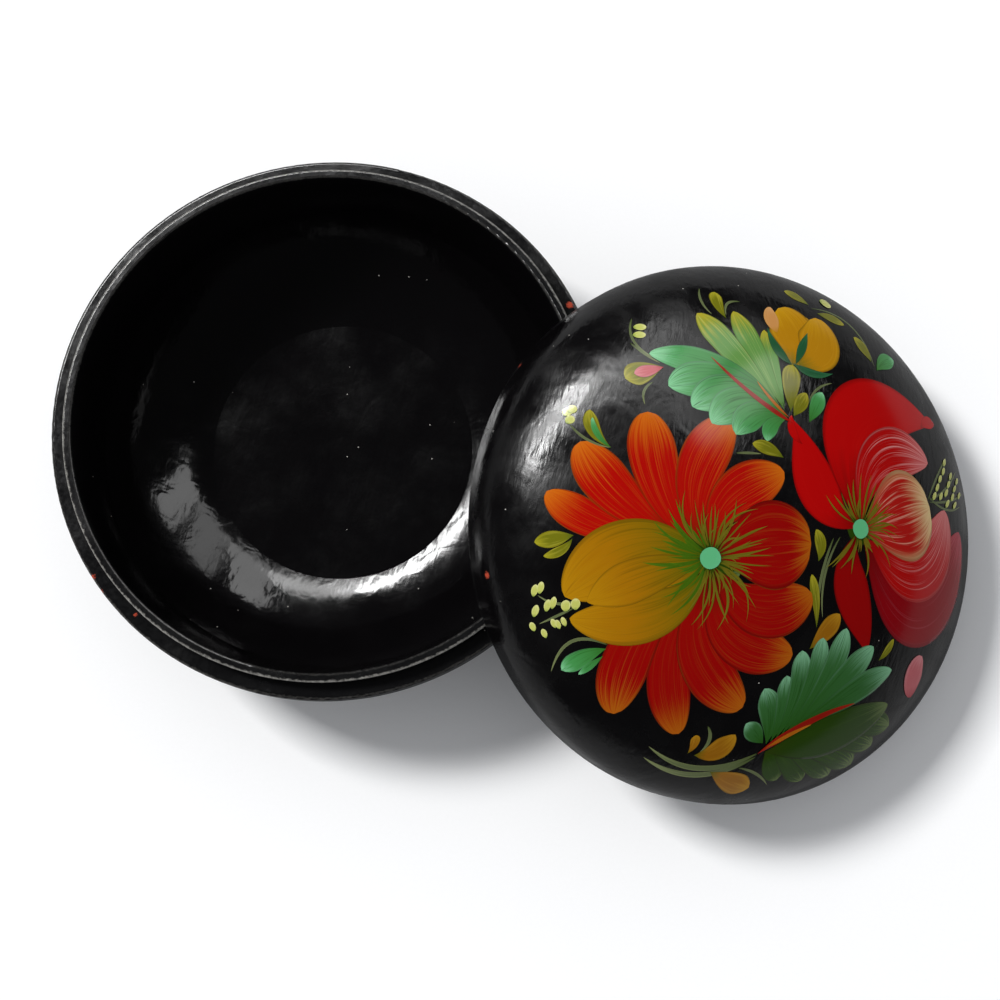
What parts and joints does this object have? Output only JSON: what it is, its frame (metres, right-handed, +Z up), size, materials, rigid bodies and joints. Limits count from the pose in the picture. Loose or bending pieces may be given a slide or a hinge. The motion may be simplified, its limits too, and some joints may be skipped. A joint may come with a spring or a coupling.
{
  "type": "lidded bowl",
  "caption": "Round turned wooden box: a bowl with a stepped rim and a domed, flower-painted lid that lies off it, leaning on the rim.",
  "frame": {"origin": "centre of the bowl's flat foot, on the surface that the bowl stands on", "axes": "+Z up along the bowl's turning axis, +X from the bowl towards the lid that leans on it"},
  "size_m": [0.2741, 0.16, 0.077],
  "materials": {
    "bowl_lacquer": "turned wood under red primer and glossy black lacquer, rim worn to a dull charcoal",
    "lid_lacquer": "turned wood under red primer and glossy black lacquer, hand-painted with red and yellow flowers and green leaves on the dome"
  },
  "bodies": {
    "bowl": {"bowl": "bowl_lacquer"},
    "lid": {"lid": "lid_lacquer"}
  },
  "joints": [
    {"name": "lid_lift", "type": "slide", "parent": "bowl", "child": "lid", "axis": [0, 0, 1], "range_m": [0, 0.08]}
  ]
}
